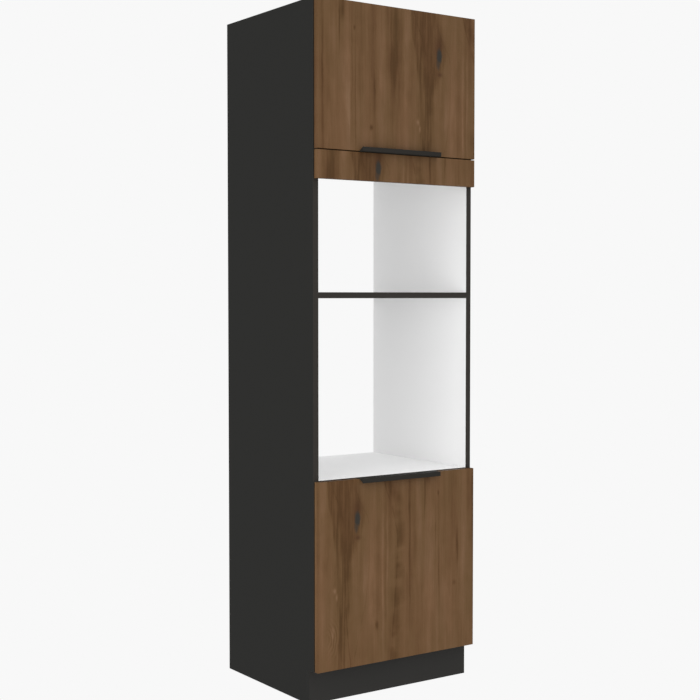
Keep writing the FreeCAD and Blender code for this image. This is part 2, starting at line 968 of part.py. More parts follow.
def foot_spots():
    """The side and the depth of each foot."""
    depths = (front_plane + foot_front_inset, back_plane - foot_inset)
    return [(side, y) for side in (left, right) for y in depths]


def foot_screw_spots(side, y):
    x = side * (inner_half - foot_bracket_sheet)
    z = foot_bracket_level + foot_bracket_height - foot_screw_drop
    half = foot_screw_spacing / 2
    return [point(x, y + s * half, z) for s in (-1, 1)]


def foot_screw_holes(side):
    holes = []
    for foot_side, y in foot_spots():
        if foot_side == side:
            holes += [screw_hole(spot, across * side) for spot in foot_screw_spots(side, y)]
    return holes


def foot_bracket(side, y):
    x = side * inner_half
    low = foot_bracket_level
    sheet = foot_bracket_sheet
    inner_x = side * (inner_half - sheet)
    end_x = side * (inner_half - foot_bracket_reach)
    outline = [
        (x, low), (end_x, low), (end_x, low + sheet), (inner_x, low + sheet),
        (inner_x, low + foot_bracket_height), (x, low + foot_bracket_height),
    ]
    y0 = y - foot_bracket_width / 2
    angle = extruded([point(px, y0, pz) for px, pz in outline], back * foot_bracket_width)
    stud = rod(foot_stud_radius + foot_stud_clearance,
               point(side * (inner_half - foot_from_side), y, low), up, sheet)
    return angle.cut([stud] + [screw_hole(s, across * side) for s in foot_screw_spots(side, y)])


def levelling_foot(side, y):
    profile = [
        (0, foot_pad_radius - foot_pad_chamfer),
        (foot_pad_chamfer, foot_pad_radius),
        (foot_pad / 2, foot_pad_radius),
        (foot_pad, foot_nut_width / 2),
        (foot_pad, foot_stud_radius),
        (foot_stud_top, foot_stud_radius),
    ]
    return turned(profile, point(side * (inner_half - foot_from_side), y, 0), up)


def foot_lock_nut(side, y):
    """A hexagon nut under the bracket."""
    z = foot_bracket_level - foot_nut
    centre = point(side * (inner_half - foot_from_side), y, z)
    sides = 6
    reach = foot_nut_width / 2 / math.cos(math.pi / sides)
    corners = []
    for k in range(sides):
        angle = 2 * math.pi * k / sides
        corners.append(centre + point(reach * math.cos(angle), reach * math.sin(angle), 0))
    hole = rod(foot_stud_radius + foot_stud_clearance, centre, up, foot_nut)
    return extruded(corners, up * foot_nut).cut(hole)


# Wall brackets: angles under the top panel, screwed through the back board into the wall

def wall_bracket_centres():
    return (-wall_bracket_spacing / 2, wall_bracket_spacing / 2)


def wall_hole(x):
    start = point(x, back_front_face - wall_bracket_sheet, top_underside - wall_hole_drop)
    return rod(wall_hole_radius, start, back, wall_bracket_sheet)


def wall_bracket_top_spots(x):
    y = back_front_face - wall_bracket_leg / 2
    z = top_underside - wall_bracket_sheet
    quarter = wall_bracket_width / 4
    return [point(x + s * quarter, y, z) for s in (-1, 1)]


def wall_bracket_top_holes():
    return [screw_hole(spot, up) for x in wall_bracket_centres()
            for spot in wall_bracket_top_spots(x)]


def wall_bracket(x):
    rear = back_front_face
    sheet = wall_bracket_sheet
    outline = [
        (rear, top_underside),
        (rear - wall_bracket_leg, top_underside),
        (rear - wall_bracket_leg, top_underside - sheet),
        (rear - sheet, top_underside - sheet),
        (rear - sheet, top_underside - wall_bracket_leg),
        (rear, top_underside - wall_bracket_leg),
    ]
    x0 = x - wall_bracket_width / 2
    angle = extruded([point(x0, y, z) for y, z in outline], across * wall_bracket_width)
    return angle.cut([wall_hole(x)] + [screw_hole(s, up) for s in wall_bracket_top_spots(x)])


def upper_back_board():
    panel = back_board_panel(upper_floor_top, top_underside)
    holes = []
    for x in wall_bracket_centres():
        start = point(x, back_front_face, top_underside - wall_hole_drop)
        holes.append(rod(wall_hole_radius + wall_hole_play, start, back, back_board))
    return panel.cut(holes)


# The whole unit

def save_carcass():
    save("left_side_panel", [side_panel(left)])
    save("right_side_panel", [side_panel(right)])
    for name in panel_tops:
        save(name, [fixed_panel(name)])
    save("plinth_board", [plinth_panel()])
    save("side_edge_bands", side_edge_bands())
    save("shelf_edge_bands", shelf_edge_bands())
    save("upper_back_board", [upper_back_board()])
    save("lower_back_board", [back_board_panel(bottom_panel_top, oven_shelf_top - board)])
    save("upper_loose_shelf", [loose_shelf(upper_loose_shelf_top)])
    save("lower_loose_shelf", [loose_shelf(lower_loose_shelf_top)])
    save("shelf_support_pins", shelf_support_pins())
    save("connector_bolts", connector_bolts())
    save("connector_cams", connector_cams())
    save("wooden_dowels", wooden_dowels())


def save_filler():
    save("filler_strip", [filler_board()])
    save("filler_edging", [front_edging(filler_bottom, filler_top)])
    save("filler_brackets", [filler_bracket(left), filler_bracket(right)])
    save("filler_bracket_screws", filler_bracket_screws())


def save_feet_and_wall_brackets():
    spots = foot_spots()
    save("foot_brackets", [foot_bracket(side, y) for side, y in spots])
    save("levelling_feet", [levelling_foot(side, y) for side, y in spots])
    save("foot_lock_nuts", [foot_lock_nut(side, y) for side, y in spots])
    save("foot_bracket_screws", [wood_screw(spot, across * side) for side, y in spots
                                 for spot in foot_screw_spots(side, y)])
    save("wall_brackets", [wall_bracket(x) for x in wall_bracket_centres()])
    save("wall_bracket_screws", [wood_screw(spot, up) for x in wall_bracket_centres()
                                 for spot in wall_bracket_top_spots(x)])


def save_hinges_on_carcass():
    places = upper_hinges + lower_hinges
    save("hinge_mounting_plates", [mounting_plate(z) for z in places])
    save("mounting_plate_screws", [euro_screw(spot) for z in places
                                   for spot in plate_screw_spots(z)])
    save("hinge_arms", [hinge_arm(z) for z in places])
    save("hinge_arm_screws", [screw for z in places for screw in arm_screws(z)])


def save_catches():
    carriers = ((upper_floor_top, 1), (oven_shelf_top - board, -1))
    housings = []
    poles = []
    screws = []
    for fixed_z, away in carriers:
        housings.append(catch_housing(fixed_z, away))
        poles += catch_poles(fixed_z, away)
        screws += [wood_screw(spot, up * -away, catch_screw_reach())
                   for spot in catch_screw_spots(fixed_z + away * catch_height)]
    save("catch_housings", housings)
    save("catch_pole_plates", poles)
    save("catch_screws", screws)


def save_door(name, z0, z1, hinges, edge_z, outward, strike_z):
    """One door with its edging, hinge cups, pull, strike plate and bumpers."""
    spots = pull_screw_spots(edge_z, outward)
    holes = [screw_hole(spot, front) for spot in spots]
    save(name + "_door", [door_board(z0, z1, hinges, holes, strike_z)])
    save(name + "_door_edging", [front_edging(z0, z1)])
    save(name + "_hinge_cups", [hinge_cup(z) for z in hinges])
    save(name + "_hinge_pins", [hinge_pin(z) for z in hinges])
    save(name + "_cup_screws", [wood_screw(spot, front) for z in hinges
                                for spot in cup_screw_spots(z)])
    save(name + "_pull", [pull(edge_z, outward)])
    save(name + "_pull_screws", [wood_screw(spot, front) for spot in spots])
    save(name + "_strike_plate", [strike_plate(strike_z)])
    save(name + "_strike_screw", [wood_screw(strike_screw_spot(strike_z), front)])
    save(name + "_door_bumpers", door_bumpers(z0, z1))


save_carcass()
save_filler()
save_feet_and_wall_brackets()
save_hinges_on_carcass()
save_catches()
save_door("upper", upper_door_bottom, upper_door_top, upper_hinges, upper_door_bottom, -1,
          strike_middle(upper_floor_top, 1))
save_door("lower", lower_door_bottom, lower_door_top, lower_hinges, lower_door_top, 1,
          strike_middle(oven_shelf_top - board, -1))
print("hinge axis at", round(hinge_x, 3), round(hinge_y, 3))
print("front plane", front_plane, "back plane", back_plane, "pull front", pull_front)
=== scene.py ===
import json
import math

import bmesh
import bpy
from mathutils import Matrix, Vector


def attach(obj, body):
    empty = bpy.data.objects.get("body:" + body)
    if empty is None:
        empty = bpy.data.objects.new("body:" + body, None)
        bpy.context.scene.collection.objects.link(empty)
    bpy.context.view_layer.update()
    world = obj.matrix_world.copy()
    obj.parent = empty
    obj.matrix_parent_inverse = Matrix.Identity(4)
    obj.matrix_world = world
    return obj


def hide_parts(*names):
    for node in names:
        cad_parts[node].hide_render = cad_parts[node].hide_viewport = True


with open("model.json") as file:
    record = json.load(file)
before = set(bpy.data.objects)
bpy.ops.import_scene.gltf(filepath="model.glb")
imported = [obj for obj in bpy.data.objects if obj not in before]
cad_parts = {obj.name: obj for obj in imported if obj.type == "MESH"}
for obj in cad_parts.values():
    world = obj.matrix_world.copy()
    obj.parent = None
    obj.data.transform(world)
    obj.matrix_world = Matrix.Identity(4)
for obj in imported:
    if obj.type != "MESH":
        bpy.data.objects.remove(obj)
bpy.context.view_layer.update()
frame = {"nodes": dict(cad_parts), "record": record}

# Metres, in the frame's axes: +Z up, the doors face -Y, the floor at z = 0.

# Camera, fitted to the straight edges of the cabinet
camera_place = (-2.46945, -3.56116, 1.22442)
camera_pitch = math.radians(87.710)
camera_roll = math.radians(0.018)
camera_turn = math.radians(-34.663)
camera_lens = 69.288
camera_sensor = 36.0

# Studio: a bright room all round, a pale floor and one soft box at the left
backdrop_level = 0.939        # what the camera sees of the room and the floor
gloss_level = 0.30            # what glossy surfaces reflect of them
room_level = 0.90             # what lights the object from the sides
sky_gain = 0.30               # how much brighter the room is straight above
floor_level = 0.80            # what lights the object from below
floor_size = 60.0
soft_box_place = (-4.3, -1.8, 0.80)
soft_box_aim = (0.0, 0.0, 0.95)
soft_box_side = 2.4
soft_box_power = 74.0

# Boards
board = 0.018
skin = 0.0003                 # depth of the coloured layers on a board's faces
half_width = 0.300

# Doors and filler strip
door_front = -0.2535
door_back = -0.2365
veneer = 0.0006
filler_top = 1.656
below_niches = 1.0            # any height between the filler strip and the lower door
upper_knot = (0.154, 1.963)
filler_knot = (-0.079, 1.605)
lower_knot = (-0.156, 0.549)

# Rounded edges of the nodes' own shapes, and creases in all pieces
same_point = 1e-6
flat_angle = math.radians(0.6)
rounded_angle = math.radians(40)
crease_angle = math.radians(35)
bevel_steps = 2

# Screws
screw_radius = 0.0017
screw_core = 0.72             # share of the radius
screw_pitch = 0.0015
screw_sides = 20
screw_head = 0.0016           # depth of the head
head_chamfer = 0.0002
screw_tip = 0.0025
tip_middle = (0.55, 0.45)     # share of the core's radius, share of the tip below it
tip_point = 0.12              # share of the core's radius
screw_spin = 997.0            # turns each cross another way
rim_share = 0.95              # corners this near the widest radius belong to the head's rim
euro_radius = 0.0025
euro_head_limit = 0.0036      # a wider head belongs to the thicker screw
cross_reach = 0.60            # share of the head's radius
cross_depth = 0.85            # share of the head's depth
cross_arm = 0.24              # half width of an arm, as a share of its reach
cross_taper = 0.55            # share of the outline left at the foot of the walls
cross_wall = 0.8              # share of the depth where the walls end
crest_slope = 2.6             # how narrow a thread's crest is
screw_thread_steps = 6        # rings in one turn

# Levelling feet
foot_stud = 0.004
foot_stud_chamfer = (0.0012, 0.0008)
foot_thread_depth = 0.0006
foot_thread_pitch = 0.00125
foot_thread_steps = 5
foot_thread_end = 0.0095
foot_sides = 72
foot_hub = 0.0075             # half the hexagon's width across its flats
foot_hub_ends = (0.0092, 0.0042)
foot_dish = ((0.72, 0.0036), (0.84, 0.0034))                  # share of the pad's radius, z
foot_rim = ((0.0006, 0.0028), (0.0, 0.0022), (0.0, 0.0008), (0.0008, 0.0))       # inset, z
foot_grooves = 36
foot_groove_depth = 0.0006
foot_ribs = 12
foot_rib_half = 0.0006
foot_rib_reach = 0.80         # share of the pad's radius
foot_rib_foot = 0.0022
foot_rib_top = (0.0075, 0.0040)                               # at the hub, at the outer end

# Lock nuts
nut_clearance = 0.0001
nut_bore_chamfer = (0.0005, 0.0004)
nut_face = 0.97               # share of the half width that the chamfer leaves flat
nut_chamfer_slope = math.tan(math.radians(30))
nut_sides = 48

# Webs that close the ends of the pulls
pull_wall = 0.002
pull_lip = 0.0135
web_wall = 0.0018
web_inset = 0.0001            # behind the pull's end, so that no two faces share a plane
web_sink = 0.0003             # into the pull's walls
web_rounding = 0.0002

screw_nodes = (
    "upper_cup_screws", "lower_cup_screws", "upper_pull_screws", "lower_pull_screws",
    "upper_strike_screw", "lower_strike_screw", "mounting_plate_screws", "catch_screws",
    "filler_bracket_screws", "foot_bracket_screws", "wall_bracket_screws",
)
rounded_nodes = (
    # node, edge radius
    ("upper_pull", 0.0003), ("lower_pull", 0.0003), ("hinge_arms", 0.0002),
    ("hinge_mounting_plates", 0.0004), ("upper_hinge_cups", 0.0003),
    ("lower_hinge_cups", 0.0003), ("catch_housings", 0.0006), ("filler_brackets", 0.0003),
    ("foot_brackets", 0.0003), ("wall_brackets", 0.0003), ("upper_strike_plate", 0.0002),
    ("lower_strike_plate", 0.0002), ("upper_door_bumpers", 0.0008),
    ("lower_door_bumpers", 0.0008), ("hinge_arm_screws", 0.0002), ("connector_cams", 0.0003),
    ("shelf_support_pins", 0.0003),
)

# Figure of the decor, which repeats across. Metres from its knot.
figure_width = 0.633
figure_end = 0.181
figure = (
    # across, along, half width, half length, tone
    (-0.166, 0.005, 0.021, 0.150, -0.42),
    (-0.184, 0.000, 0.003, 0.120, -0.25),
    (-0.127, 0.000, 0.013, 0.300, 0.22),
    (-0.128, -0.300, 0.012, 0.150, 0.12),
    (0.046, -0.160, 0.020, 0.150, 0.18),
    (0.096, -0.200, 0.004, 0.220, 0.30),
    (0.112, -0.120, 0.003, 0.200, 0.25),
    (0.060, -0.300, 0.014, 0.120, 0.14),
    (0.026, -0.190, 0.010, 0.090, 0.14),
    (0.125, 0.040, 0.010, 0.100, -0.20),
    (-0.434, -0.080, 0.004, 0.220, -0.30),
    (-0.414, -0.060, 0.008, 0.110, -0.18),
    (-0.396, -0.020, 0.010, 0.200, 0.16),
    (-0.374, 0.060, 0.002, 0.070, -0.30),
    (-0.362, 0.115, 0.009, 0.035, -0.40),
    (-0.352, -0.140, 0.017, 0.200, 0.24),
    (-0.340, -0.200, 0.002, 0.120, 0.16),
    (-0.330, -0.060, 0.002, 0.160, -0.24),
    (-0.318, -0.200, 0.002, 0.200, -0.22),
    (-0.290, -0.300, 0.030, 0.160, 0.14),
    (-0.266, 0.020, 0.026, 0.130, -0.06),
    (-0.246, -0.122, 0.004, 0.055, -0.38),
    (-0.220, -0.080, 0.012, 0.300, 0.20),
    (-0.200, 0.080, 0.006, 0.160, -0.14),
    (-0.321, 0.058, 0.003, 0.007, -0.45),
    (-0.258, -0.233, 0.006, 0.008, -0.42),
    (0.072, -0.328, 0.006, 0.012, -0.42),
    (-0.080, -0.205, 0.005, 0.008, 0.42),
    (-0.072, -0.226, 0.004, 0.010, 0.36),
    (-0.086, -0.332, 0.005, 0.016, 0.36),
)
# Curved strands: half width, tone and (along, across) points from the bottom up
strands = (
    (0.0018, -0.26, ((-0.45, -0.022), (-0.27, -0.038), (-0.058, -0.040), (0.034, -0.062),
                     (0.13, -0.099), (0.20, -0.115))),
    (0.0220, -0.24, ((-0.46, 0.138), (-0.236, 0.152), (-0.086, 0.163), (-0.011, 0.160),
                     (0.094, 0.128), (0.20, 0.100))),
    (0.0022, -0.26, ((-0.46, 0.126), (-0.236, 0.143), (-0.086, 0.152), (0.0, 0.139),
                     (0.094, 0.106), (0.20, 0.080))),
    (0.0030, -0.20, ((-0.46, 0.196), (-0.236, 0.199), (-0.050, 0.199), (0.05, 0.190),
                     (0.12, 0.176), (0.20, 0.160))),
    (0.0016, -0.14, ((-0.30, 0.020), (-0.12, 0.045), (-0.020, 0.044), (0.03, 0.024),
                     (0.05, 0.012), (0.08, 0.000))),
)
# Noises that bend and shade the grain
grain_layers = {
    # scale across, layer, scale along, detail, the range it is eased over (or else centred on 0)
    "sway": (5.0, 0.0, 2.2, 2.0, None),
    "ripple": (32.0, 3.0, 13.0, 3.0, None),
    "jag": (150.0, 4.0, 40.0, 2.0, None),
    "broad": (42.0, 7.0, 1.6, 3.0, None),
    "fine": (260.0, 11.0, 6.0, 3.0, None),
    "cloud": (30.0, 9.0, 14.0, 3.0, None),
    "chipped": (160.0, 5.0, 60.0, 3.0, None),
    "patch": (60.0, 5.0, 9.0, 3.0, (0.30, 0.70)),
    "streak": (120.0, 15.0, 4.0, 2.0, (0.32, 0.64)),
    "broken": (8.0, 6.0, 17.0, 2.0, (0.30, 0.62)),
    "pores": (950.0, 13.0, 28.0, 1.0, (0.60, 0.72)),
    "hue": (14.0, 17.0, 2.5, 2.0, (0.35, 0.65)),
}
bends = (("sway", 0.014), ("ripple", 0.007), ("jag", 0.0022))       # metres across
shadings = (("broad", 0.62), ("fine", 0.32), ("cloud", 0.36), ("pores", -0.08))     # tone
patch_strength = (0.9, 0.68)          # times the patches, plus
streak_strength = (0.9, 0.45)         # times the streaks in the heart, plus
face_tone = 0.50
edging_tone = 0.28
# Faint curls low at the left
curl_middle = (-0.112, -0.352)        # across and along, of the rings
curl_flat = 0.55                      # their height is stretched by one over this
curl_rings = 640.0                    # radians per metre
curl_ripple = 14.0                    # how uneven they are
curl_patch = (-0.084, -0.350, 0.018, 0.045)     # where they show: middle, half width and length
curl_tone = 0.20
# The knot in two parts, and the brown halo above it and cup below
knot_cores = (
    # middle across and along, half width, half length, range it is eased over, share
    (0.001, 0.004, 0.0120, 0.027, (0.25, 0.75), 1.0),
    (-0.003, -0.019, 0.010, 0.024, (0.30, 0.95), 0.65),
)
knot_halos = (
    # middle across and along, half width, half length, share
    (0.001, 0.030, 0.020, 0.034, 0.5),
    (0.003, -0.053, 0.010, 0.007, 0.7),
)
knot_chipping = 0.45
halo_colour = (76, 46, 25)
knot_colour = (56, 52, 46)
# Shades of the decor: tone, colour
warm_shades = ((0.0, (84, 56, 28)), (0.25, (95, 65, 37)), (0.5, (107, 77, 48)),
               (0.78, (119, 87, 59)), (1.0, (128, 96, 69)))
olive_shades = ((0.0, (83, 57, 28)), (0.25, (94, 67, 37)), (0.5, (106, 78, 48)),
                (0.78, (117, 87, 60)), (1.0, (126, 97, 70)))
# The dark heart round the knot: (along, across) points of its two edges, how far they are
# torn, and where they fade
heart_tone = -0.30
heart_torn = (("cloud", 0.020), ("fine", 0.010))
heart_left_fade = (-0.006, 0.006)
heart_right_fade = (-0.018, 0.014)
heart_left = ((-0.46, -0.066), (-0.236, -0.0675), (-0.124, -0.071), (-0.049, -0.083),
              (-0.011, -0.088), (0.064, -0.105), (0.116, -0.110), (0.24, -0.118))
heart_right = ((-0.46, -0.040), (-0.25, -0.031), (-0.15, -0.022), (-0.09, -0.008),
               (-0.05, 0.008), (0.0, 0.018), (0.06, 0.013), (0.135, -0.004), (0.24, -0.030))


class Field:
    """A number in a material's node tree. Arithmetic on it adds Math nodes."""

    def __init__(self, tree, socket):
        self.tree = tree
        self.socket = socket

    def node(self, operation, *others, clamp=False):
        made = self.tree.nodes.new("ShaderNodeMath")
        made.operation = operation
        made.use_clamp = clamp
        for slot, value in zip(made.inputs, (self, *others)):
            feed(self.tree, slot, value)
        return Field(self.tree, made.outputs[0])

    def __add__(self, other):
        return self.node("ADD", other)

    def __sub__(self, other):
        return self.node("SUBTRACT", other)

    def __rsub__(self, other):
        return (self * -1.0).node("ADD", other)

    def __mul__(self, other):
        return self.node("MULTIPLY", other)

    def __truediv__(self, other):
        return self.node("DIVIDE", other)

    def abs(self):
        return self.node("ABSOLUTE")

    def max(self, other):
        return self.node("MAXIMUM", other)

    def above(self, limit):
        return self.node("GREATER_THAN", limit)

    def below(self, limit):
        return self.node("LESS_THAN", limit)

    def clamped(self):
        return self.node("ADD", 0.0, clamp=True)

    def fade(self):
        """exp(-x), which is 1 at 0 and falls softly towards 0."""
        return (self * -1.0).node("EXPONENT")

    def ease(self, low, high):
        """0 below low, 1 above high, smooth between them."""
        made = self.tree.nodes.new("ShaderNodeMapRange")
        made.interpolation_type = "SMOOTHSTEP"
        feed(self.tree, made.inputs["Value"], self)
        made.inputs["From Min"].default_value = low
        made.inputs["From Max"].default_value = high
        return Field(self.tree, made.outputs["Result"])


def feed(tree, slot, value):
    """Connect a field to an input, or set the input to a constant."""
    if isinstance(value, Field):
        tree.links.new(value.socket, slot)
    else:
        slot.default_value = value


def vector(tree, x, y, z):
    made = tree.nodes.new("ShaderNodeCombineXYZ")
    for slot, value in zip(made.inputs, (x, y, z)):
        feed(tree, slot, value)
    return Field(tree, made.outputs[0])


def noise(tree, place, scale=1.0, detail=2.0, roughness=0.5):
    made = tree.nodes.new("ShaderNodeTexNoise")
    feed(tree, made.inputs["Vector"], place)
    made.inputs["Scale"].default_value = scale
    made.inputs["Detail"].default_value = detail
    made.inputs["Roughness"].default_value = roughness
    return Field(tree, made.outputs[0])


def ramp(tree, value, stops):
    """A colour ramp from (position, linear colour) stops."""
    made = tree.nodes.new("ShaderNodeValToRGB")
    feed(tree, made.inputs[0], value)
    elements = made.color_ramp.elements
    while len(elements) < len(stops):
        elements.new(0.5)
    for element, (position, colour) in zip(elements, stops):
        element.position = position
        element.color = (*colour, 1.0)
    return Field(tree, made.outputs[0])


def follow(tree, value, points):
    """A smooth curve through (input, output) points."""
    made = tree.nodes.new("ShaderNodeFloatCurve")
    low, high = points[0][0], points[-1][0]
    base = min(output for _, output in points)
    span = max(output for _, output in points) - base
    feed(tree, made.inputs["Value"], (value - low) / (high - low))
    curve = made.mapping.curves[0]
    while len(curve.points) < len(points):
        curve.points.new(0.5, 0.5)
    for point, (given, output) in zip(curve.points, points):
        point.location = ((given - low) / (high - low), (output - base) / span)
    made.mapping.update()
    return Field(tree, made.outputs[0]) * span + base


def mix(tree, share, first, second):
    """A colour between two colours or colour fields."""
    made = tree.nodes.new("ShaderNodeMix")
    made.data_type = "RGBA"
    feed(tree, made.inputs[0], share)
    for slot, value in ((made.inputs[6], first), (made.inputs[7], second)):
        feed(tree, slot, value if isinstance(value, Field) else (*value, 1.0))
    return Field(tree, made.outputs[2])


def bump(tree, height, strength, distance):
    made = tree.nodes.new("ShaderNodeBump")
    made.inputs["Strength"].default_value = strength
    made.inputs["Distance"].default_value = distance
    feed(tree, made.inputs["Height"], height)
    return Field(tree, made.outputs[0])


def srgb(red, green, blue):
    """Linear colour from the 0-255 values seen on a screen."""
    def linear(value):
        value = value / 255
        return value / 12.92 if value <= 0.04045 else ((value + 0.055) / 1.055) ** 2.4
    return tuple(linear(value) for value in (red, green, blue))


def new_material(name):
    """A material, its tree, its shader and the x, y and z of the surface in the frame."""
    material = bpy.data.materials.new(name)
    material.use_nodes = True
    tree = material.node_tree
    shader = tree.nodes["Principled BSDF"]
    place = tree.nodes.new("ShaderNodeTexCoord")
    split = tree.nodes.new("ShaderNodeSeparateXYZ")
    tree.links.new(place.outputs["Object"], split.inputs[0])
    return material, tree, shader, [Field(tree, socket) for socket in split.outputs]


def finish_material(tree, shader, colour, roughness, normal, metallic=0.0, specular=0.5):
    feed(tree, shader.inputs["Base Color"], colour)
    feed(tree, shader.inputs["Roughness"], roughness)
    feed(tree, shader.inputs["Normal"], normal)
    shader.inputs["Metallic"].default_value = metallic
    shader.inputs["Specular IOR Level"].default_value = specular


def between(tree, field, dark, light):
    """From one colour to another over the range that holds most of a noise."""
    return ramp(tree, field, [(0.3, dark), (0.7, light)])


def shades(tree, field, colour, spread):
    """From a slightly darker to a slightly lighter shade of one colour."""
    dark, light = ([value * factor for value in colour] for factor in (1 - spread, 1 + spread))
    return between(tree, field, dark, light)


def chipboard(tree, place):
    """The pressed chips that show in the drilled and unbanded edges of a board."""
    chips = noise(tree, place, scale=350.0, detail=3.0, roughness=0.7)
    return ramp(tree, chips, [(0.35, srgb(120, 92, 62)), (0.65, srgb(190, 160, 118))])


def figure_place(x, y, z):
    """Across and along the grain, in metres from the knot of the front that is dressed."""
    below_door = z.below(filler_top)
    below_filler = z.below(below_niches)
    knot_x = below_door * (filler_knot[0] - upper_knot[0]) + upper_knot[0]
    knot_x = knot_x + below_filler * (lower_knot[0] - filler_knot[0])
    knot_z = below_door * (filler_knot[1] - upper_knot[1]) + upper_knot[1]
    knot_z = knot_z + below_filler * (lower_knot[1] - filler_knot[1])
    return x + (y - door_front) - knot_x, z - knot_z


def spot(across, along, centre_x, centre_z, wide, long):
    """A soft oval that is 1 in its middle. Wide and long are its half width and half length."""
    away_x = (across - centre_x) / wide
    away_z = (along - centre_z) / long
    return (away_x * away_x + away_z * away_z).fade()


def grain_layer(tree, layer, across, along):
    """One of the decor's noises, eased over its range or else centred on 0."""
    scale_across, depth, scale_along, detail, eased = grain_layers[layer]
    place = vector(tree, across * scale_across, depth, along * scale_along)
    made = noise(tree, place, detail=detail)
    return made.ease(*eased) if eased else made - 0.5


def figure_tone(tree, band, along, layers):
    """The figure's ovals, its curved strands and the dark heart with its torn edges."""
    tone = None
    for centre_x, centre_z, wide, long, depth in figure:
        share = spot(band, along, centre_x, centre_z, wide, long) * depth
        tone = share if tone is None else tone + share
    for wide, depth, points in strands:
        away = (band - follow(tree, along, points)) / wide
        tone = tone + (away * away).fade() * layers["broken"] * depth
    left = band - follow(tree, along, heart_left)
    right = band - follow(tree, along, heart_right)
    for layer, reach in heart_torn:
        left = left + layers[layer] * reach
        right = right + layers[layer] * reach
    heart = left.ease(*heart_left_fade) * (1.0 - right.ease(*heart_right_fade))
    times, plus = streak_strength
    return tone + heart * (layers["streak"] * times + plus) * heart_tone


def curls(band, along, ripple):
    """The tone of faint rings, like those round a small side branch."""
    ring_x = band - curl_middle[0]
    ring_z = (along - curl_middle[1]) * curl_flat
    ring = (ring_x * ring_x + ring_z * ring_z).node("SQRT") * curl_rings
    share = spot(band, along, *curl_patch) * curl_tone
    return (ring + ripple * curl_ripple).node("SINE") * share


def add_knot(tree, tint, across, along):
    """The knot and its halos, over a tint."""
    chipped = grain_layer(tree, "chipped", across, along) * knot_chipping
    above, below = (spot(across, along, *oval) * share for *oval, share in knot_halos)
    top, foot = ((spot(across, along, *oval) + chipped).ease(*eased) * share
                 for *oval, eased, share in knot_cores)
    tint = mix(tree, (above + below).clamped(), tint, srgb(*halo_colour))
    return mix(tree, top.max(foot), tint, srgb(*knot_colour))


def walnut(name, cored):
    """Walnut decor with upright grain. Where it is cored, chipboard shows between its two faces."""
    material, tree, shader, (x, y, z) = new_material(name)
    across, along = figure_place(x, y, z)
    line = across
    bent = {layer: grain_layer(tree, layer, across, along) for layer, _ in bends}
    for layer, reach in bends:
        line = line + bent[layer] * reach
    band = line - line.above(figure_end) * figure_width
    layers = {layer: grain_layer(tree, layer, line, along)
              for layer in ("broad", "fine", "cloud", "patch", "streak", "broken", "pores", "hue")}

    times, plus = patch_strength
    tone = figure_tone(tree, band, along, layers) * (layers["patch"] * times + plus)
    for layer, depth in shadings:
        tone = tone + layers[layer] * depth
    tone = tone + curls(band, along, bent["ripple"])
    tone = tone + (face_tone if cored else edging_tone)
    warm, olive = (ramp(tree, tone, [(position, srgb(*colour)) for position, colour in stops])
                   for stops in (warm_shades, olive_shades))
    tint = add_knot(tree, mix(tree, layers["hue"], warm, olive), across, along)
    if cored:
        off_middle = (y - (door_front + door_back) / 2).abs()
        inside = off_middle.below((door_back - door_front) / 2 - veneer)
        tint = mix(tree, inside, tint, chipboard(tree, vector(tree, x, y, z)))
    height = layers["fine"] * 0.6 - layers["pores"]
    finish_material(tree, shader, tint, layers["fine"] * 0.15 + 0.52,
                    bump(tree, height, strength=0.25, distance=0.0002), specular=0.2)
    return material


def finish_board(tree, shader, tint, grain, roughness=0.5):
    """The faint texture of a melamine face."""
    finish_material(tree, shader, tint, grain * 0.1 + roughness,
                    bump(tree, grain, strength=0.15, distance=0.0002), specular=0.2)


def side_board():
    """Anthracite outside, white inside, chipboard between the two faces."""
    material, tree, shader, (x, y, z) = new_material("side_board")
    place = vector(tree, x, y, z)
    grain = noise(tree, place, scale=900.0, detail=2.0)
    core = chipboard(tree, place)
    outside = x.abs().above(half_width - skin)
    inside = x.abs().below(half_width - board + skin)
    dark = between(tree, grain, srgb(32, 32, 30), srgb(38, 38, 36))
    tint = mix(tree, outside, mix(tree, inside, core, srgb(236, 236, 236)), dark)
    finish_board(tree, shader, tint, grain)
    return material


def plinth_board():
    """A dark face with a faint unevenness, and banded ends as dark as the sides."""
    material, tree, shader, (x, y, z) = new_material("plinth_board")
    place = vector(tree, x, y, z)
    cloud = noise(tree, place, scale=3.0, detail=2.0)
    grain = noise(tree, place, scale=900.0, detail=2.0)
    face = shades(tree, cloud * 0.6 + grain * 0.4, srgb(48, 47, 45), 0.05)
    ends = shades(tree, grain, srgb(35, 35, 33), 0.10)
    tint = mix(tree, x.abs().above(half_width - skin), face, ends)
    finish_board(tree, shader, tint, grain, roughness=0.45)
    return material


def white_board():
    material, tree, shader, (x, y, z) = new_material("white_board")
    place = vector(tree, x, y, z)
    grain = noise(tree, place, scale=900.0, detail=2.0)
    tint = between(tree, grain, srgb(243, 243, 243), srgb(247, 247, 247))
    finish_board(tree, shader, tint, grain)
    return material


def moulded(name, colour, roughness):
    """Moulded plastic or rubber with a fine eroded texture and a faint flow unevenness."""
    material, tree, shader, (x, y, z) = new_material(name)
    place = vector(tree, x, y, z)
    texture = noise(tree, place, scale=2600.0, detail=2.0)
    flow = noise(tree, place, scale=60.0, detail=2.0)
    tint = shades(tree, flow * 0.7 + texture * 0.3, colour, 0.05)
    finish_material(tree, shader, tint, texture * 0.12 + flow * 0.08 + roughness - 0.1,
                    bump(tree, texture, strength=0.2, distance=0.00008), specular=0.3)
    return material


